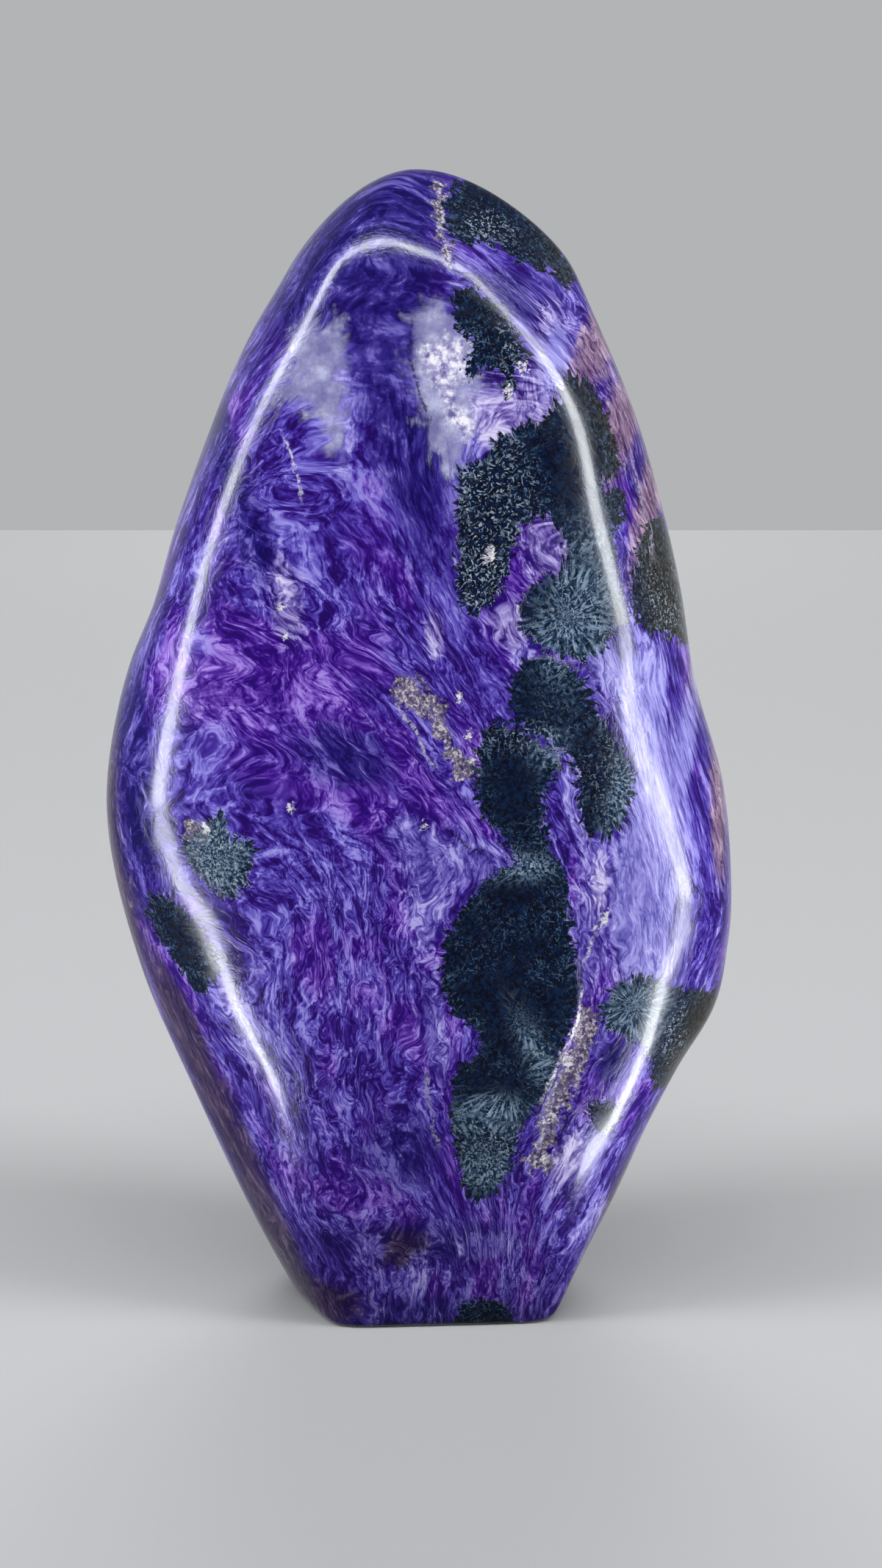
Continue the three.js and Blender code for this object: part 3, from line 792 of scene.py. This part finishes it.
def charoite_material():
    """Violet fibre felted in folds, with the other minerals laid over it by their distances."""
    material = bpy.data.materials.new("polished_charoite")
    material.use_nodes = True
    tree = material.node_tree
    shader = tree.nodes["Principled BSDF"]
    p = Patterns(tree)
    place_node = tree.nodes.new("ShaderNodeTexCoord")
    place = p.vector("SCALE", place_node.outputs["Object"], 1 / MILLIMETRE)

    # Fibres: three folds, each finer than the last, then noises stretched along the folded grain. Dark seams
    # and bright hairs run where a noise crosses its middle.
    lively = p.minus(1.0, p.times(p.attribute("calm"), 0.88))
    first = fibre_layers(p, p.attribute("grain_first", "Vector"), lively)
    second = fibre_layers(p, p.attribute("grain_second", "Vector"), lively)
    share = p.attribute("first_share")
    bundles, streaks, threads, hue = (spans_joined(p, share, a, b) for a, b in zip(first, second))
    seams = p.between(p.off(bundles), 0.03, 0.0)
    hairs = p.between(p.off(streaks, 0.53), 0.022, 0.0)
    silk = p.add(p.times(bundles, 0.34), p.times(streaks, 0.4), p.times(threads, 0.26),
                 p.times(seams, -0.04), p.times(hairs, 0.03))
    silk = p.add(p.swing(silk, p.add(p.times(lively, 0.22), 0.8)), 0.5)
    body = p.ramp(silk, SILK_PLACES, FIBRES["violet"])
    reddish = p.add(hue, p.times(p.attribute("purple"), 0.1))
    body = p.blend(p.between(reddish, 0.52, 0.66), body, p.ramp(silk, SILK_PLACES, FIBRES["purple"]))
    # The indigo, muted and rose tints are partly painted shade and painted reflection.
    for name in ("indigo_and_shade", "muted_shade_and_reflection", "wedge", "pink", "rose_reflection", "lilac"):
        wispy = p.add(p.attribute(name), p.swing(streaks, 1.4))
        body = p.blend(p.between(wispy, 0.2, 0.75), body, p.ramp(silk, SILK_PLACES, FIBRES[name]))

    # Tan grains, quartz and white patches.
    ragged = p.swing(p.noise(place, 0.7, 4.0, 0.65), 5.0)
    quartz_at, white_at, tan_at = p.split(p.attribute("pale_minerals", "Vector"))
    grains = p.noise(place, 1.9, 3.0, 0.7, 0.6)
    milk = p.noise(place, 0.3, 5.0, 0.65)
    tan_colour = p.ramp(grains, (0.37, 0.45, 0.54, 0.62), "14122c 5c5264 8f8074 ece6e4")
    tan_share = p.times(p.between(p.add(tan_at, p.times(ragged, 1.5)), 0.5, -0.5), 0.75)
    body = p.blend(tan_share, body, tan_colour)
    quartz_colour = p.ramp(milk, (0.36, 0.46, 0.54, 0.64), "7e78aa 9490ba a6a5c8 c6c7e6")
    fibrous = p.swing(streaks, 9.0)
    quartz_share = p.between(p.add(quartz_at, p.times(ragged, 0.5), fibrous), 1.5, -1.3)
    body = p.blend(p.times(quartz_share, 0.9), body, quartz_colour)
    crystals = p.noise(place, 0.85, 4.0, 0.65)
    white_colour = p.ramp(crystals, (0.36, 0.44, 0.52, 0.6), "6a6098 9c94c2 d2cce6 fcfaff")
    body = p.blend(p.between(p.add(white_at, p.times(ragged, 1.2)), 1.0, -0.8), body, white_colour)

    # The needle clusters over all: blue-black, with a fringe of spokes and short pale flecks near the rims.
    needle_at = p.attribute("needles")
    spokes_at = p.attribute("spokes", "Vector")
    radial = p.vector("ADD", p.vector("SCALE", spokes_at, 1.5), p.vector("SCALE", place, 0.3))
    fringe = p.noise(radial, 1.0, 2.0, 0.6)
    edge = p.add(needle_at, p.swing(fringe, 5.0), p.times(ragged, 0.25))
    cluster = p.between(edge, 0.25, -0.25)
    worms = p.noise(place, 1.6, 3.0, 0.6, 0.8)
    patchy = p.noise(place, 0.16, 3.0, 0.6)
    pale_needles_and_sheen = p.attribute("pale_needles_and_sheen")
    flecked = p.attribute("flecked")
    ticks = [p.between(p.noise(p.turned(place, lean, (3.6, 1.7, 1.3)), 1.0, 1.0, 0.5), 0.62, 0.68)
             for lean in (15, 75, 135)]
    ticks = p.number("MAXIMUM", p.number("MAXIMUM", ticks[0], ticks[1]), ticks[2])
    dense = p.add(p.between(needle_at, -5.0, -0.8, 0.1, 0.35), p.between(patchy, 0.42, 0.6, -0.2, 0.4),
                  p.times(flecked, 0.5), p.times(pale_needles_and_sheen, 0.2))
    flecks = p.times(ticks, p.number("MAXIMUM", dense, 0.0))
    spoke_hairs = p.times(p.between(fringe, 0.55, 0.66), p.between(needle_at, -2.6, -0.2), 0.5)
    dark = p.ramp(worms, (0.4, 0.5, 0.6), "000214 000b2a 021e3e")
    # The frosted needles are pale blue-grey, partly a painted sheen.
    pale_needle_colour_and_sheen = p.ramp(fringe, (0.36, 0.5, 0.64), "001428 2a4a68 a6bed6")
    dark = p.blend(p.times(pale_needles_and_sheen, 0.8), dark, pale_needle_colour_and_sheen)
    # Olive: a painted reflection of brown wood on the right flank's needles.
    olive_reflection = p.ramp(worms, (0.4, 0.5, 0.66), "1a1716 2c2a26 4a4942")
    dark = p.blend(p.attribute("wood_reflection_share"), dark, olive_reflection)
    dim = p.ramp(threads, (0.4, 0.6), "243e56 587490")
    bright = p.ramp(threads, (0.4, 0.6), "5c7084 b4c4d0")
    pale = p.blend(p.between(p.number("MAXIMUM", flecked, pale_needles_and_sheen), 0.1, 0.7), dim, bright)
    dark = p.blend(p.number("MINIMUM", p.add(flecks, spoke_hairs), 0.8), dark, pale)
    body = p.blend(cluster, body, dark)

    # Veins: a thin broken line down the middle of each.
    sided, counts, tone = p.split(p.attribute("veins", "Vector"))
    wander = p.swing(p.noise(place, 0.45, 3.0, 0.6), 2.2)
    middle_line = p.between(p.off(p.add(sided, wander), 0.0), 0.36, 0.08)
    line = p.times(middle_line, counts, p.between(grains, 0.4, 0.55))
    seam_colour = p.ramp(silk, (0.4, 0.6), "08002c 1e0650")
    vein_colour = p.blend(tone, seam_colour, p.ramp(grains, (0.4, 0.6), "a898c4 f0eaf8"))
    body = p.blend(p.times(line, p.between(tone, 0.0, 0.5, 0.8, 0.9)), body, vein_colour)

    # Small bright crystals, painted as glints: white specks painted into the colour where they catch the
    # light.
    glint = p.attribute("glint")
    glints = p.between(p.add(glint, p.swing(grains, 2.5)), 0.35, 0.6)
    glint_crystal_colour = p.ramp(worms, (0.4, 0.6), "b0a8b8 f2f0ee")
    body = p.blend(p.times(glints, p.between(glint, 0.05, 0.2)), body, glint_crystal_colour)

    # The finish: duller on tan grains, with a thin coat over all and a fine grain along the fibres.
    roughness = p.add(p.times(tan_share, 0.2), p.between(streaks, 0.4, 0.6, 0.2, 0.29))
    tree.links.new(body, shader.inputs["Base Color"])
    tree.links.new(roughness, shader.inputs["Roughness"])
    shader.inputs["Coat Weight"].default_value = 0.4
    shader.inputs["Coat Roughness"].default_value = 0.13
    shader.inputs["Coat IOR"].default_value = 1.46
    shader.inputs["Specular IOR Level"].default_value = 0.3
    shader.inputs["IOR"].default_value = 1.46
    height = p.add(p.times(threads, 0.45), p.times(streaks, 0.55))
    height = p.times(height, p.minus(1.0, p.times(cluster, 0.7)))
    bump = tree.nodes.new("ShaderNodeBump")
    bump.inputs["Strength"].default_value = 0.35
    bump.inputs["Distance"].default_value = 0.0003
    tree.links.new(height, bump.inputs["Height"])
    tree.links.new(bump.outputs[0], shader.inputs["Normal"])
    return material


stone.data.materials.append(charoite_material())
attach(stone, "root")
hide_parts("stone")

# The studio: a plain pale floor that isn't part of the object, and soft lights. Tall panels at the left and
# right, an arch of panels above and low ones on the floor draw the pale line along the ridges. A fill behind
# lights the back and isn't mirrored. The panels themselves stay out of the picture. The floor and the panels
# round the stone are in metres, the low panels in millimetres.
FLOOR_SIZE = 2.4
FLOOR_COLOUR = (0.165, 0.163, 0.16, 1)
PANEL_COLOUR = (0.93, 0.96, 1.0)
PANEL_DISTANCE = 1.6
PANEL_WIDTH = 0.46
LOW_PANEL_LIFT = 2


def pale_floor():
    """A square floor of one face, in a plain matt grey-white."""
    half = FLOOR_SIZE / 2
    mesh = bpy.data.meshes.new("floor")
    corners = [(-half, -half, 0), (half, -half, 0), (half, half, 0), (-half, half, 0)]
    mesh.from_pydata(corners, [], [(0, 1, 2, 3)])
    material = bpy.data.materials.new("pale_floor")
    material.use_nodes = True
    shader = material.node_tree.nodes["Principled BSDF"]
    shader.inputs["Base Color"].default_value = FLOOR_COLOUR
    shader.inputs["Roughness"].default_value = 0.8
    mesh.materials.append(material)
    floor = bpy.data.objects.new("floor", mesh)
    floor.visible_glossy = False
    show(floor)


def panel(name, place, turn, width, height, glow):
    """A rectangular light at a place, turned so. Its power follows from its glow and its size."""
    light = bpy.data.lights.new(name, "AREA")
    light.shape = "RECTANGLE"
    light.size, light.size_y = width, height
    light.energy = glow * math.pi * width * height
    light.color = PANEL_COLOUR
    lamp = bpy.data.objects.new(name, light)
    lamp.location = place
    lamp.rotation_euler = turn
    lamp.visible_camera = False
    show(lamp)


def panel_round(name, azimuth, elevation, height, glow, width=PANEL_WIDTH, distance=PANEL_DISTANCE):
    """A panel on a sphere round the stone's middle, facing it. Azimuth 0 is the front, elevation 0 level."""
    around, rise = math.radians(azimuth), math.radians(elevation)
    place = (distance * math.sin(around) * math.cos(rise), -distance * math.cos(around) * math.cos(rise),
             HEIGHT / 2 * MILLIMETRE + distance * math.sin(rise))
    panel(name, place, (math.pi / 2 - rise, 0, around), width, height, glow)


def low_panel(name, start, end):
    """A narrow panel that lies on the floor, facing up, with its middle line from start to end. Each of them
    is (x, y, width, glow), and the panel takes the start's width and glow."""
    turn = math.atan2(end[1] - start[1], end[0] - start[0]) + math.pi / 2
    place = ((start[0] + end[0]) / 2 * MILLIMETRE, (start[1] + end[1]) / 2 * MILLIMETRE,
             LOW_PANEL_LIFT * MILLIMETRE)
    width, length = start[2] * MILLIMETRE, math.dist(start[:2], end[:2]) * MILLIMETRE
    panel(name, place, (math.pi, 0, turn), width, length, start[3])


pale_floor()
panel_round("left_column", azimuth=-70, elevation=22, height=1.7, glow=21)
panel_round("right_column", azimuth=68, elevation=20, height=1.78, glow=21)
for step in range(-2, 3):
    panel_round(f"arch_{step + 2}", azimuth=30 * step, elevation=64 - 2 * step * step, height=0.3, glow=20)

# The low panels' middle lines as (x, y, width, glow), in millimetres, from the stone's foot to the columns'.
LOW_LEFT = [(-47, -48, 10, 40), (-65, -58, 18, 28), (-103, -84, 42, 20), (-205, -100, 85, 16),
            (-505, -230, 190, 15), (-1130, -411, 0, 0)]
LOW_RIGHT = [(37, -35, 8, 32), (52, -27, 12, 34), (73, -37, 17, 30), (101, -61, 28, 24), (158, -80, 60, 18),
             (369, -180, 150, 14), (1112, -449, 0, 0)]
for side, path in (("left", LOW_LEFT), ("right", LOW_RIGHT)):
    for step, (start, end) in enumerate(zip(path, path[1:])):
        low_panel(f"low_{side}_{step}", start, end)
panel_round("back_fill", azimuth=180, elevation=35, height=1.2, glow=12, width=1.2, distance=1.8)
bpy.data.objects["back_fill"].visible_glossy = False

# The air: dim in front of the stone and brighter behind it, as on a table against a pale wall. Where it is
# seen past the stone, it is the same pale grey from every side.
PALE_AIR = (0.45, 0.455, 0.465, 1)
DIM_AIR = (0.1, 0.102, 0.11, 1)
world = bpy.data.worlds.new("studio_air")
world.use_nodes = True
air = Patterns(world.node_tree)
_, backward, upward = air.split(world.node_tree.nodes.new("ShaderNodeTexCoord").outputs["Generated"])
behind = air.times(air.between(backward, 0.7, 0.96), air.between(upward, 0.15, 0.4, 1.0, 0.25))
seen = world.node_tree.nodes.new("ShaderNodeLightPath").outputs["Is Camera Ray"]
sky = air.blend(air.number("MAXIMUM", behind, seen), DIM_AIR, PALE_AIR)
world.node_tree.links.new(sky, world.node_tree.nodes["Background"].inputs["Color"])
bpy.context.scene.world = world
bpy.context.scene.view_settings.view_transform = "Standard"

# The camera, worked out from the photograph: where it stands in the part's frame, how far it is tilted down,
# and its lens on a 36 mm sensor along the picture's long side.
CAMERA_PLACE = (3.0, -346.5, 143.5)
CAMERA_TILT = 11.1
FOCAL_PIXELS = 3400
PICTURE_HEIGHT = 2133
SENSOR = 36.0

camera_data = bpy.data.cameras.new("camera")
camera_data.sensor_width = SENSOR
camera_data.lens = FOCAL_PIXELS / PICTURE_HEIGHT * SENSOR
camera_data.clip_start = 0.01
camera = bpy.data.objects.new("camera", camera_data)
camera.location = [part * MILLIMETRE for part in CAMERA_PLACE]
camera.rotation_euler = (math.radians(90 - CAMERA_TILT), 0, 0)
show(camera)
bpy.context.scene.camera = camera
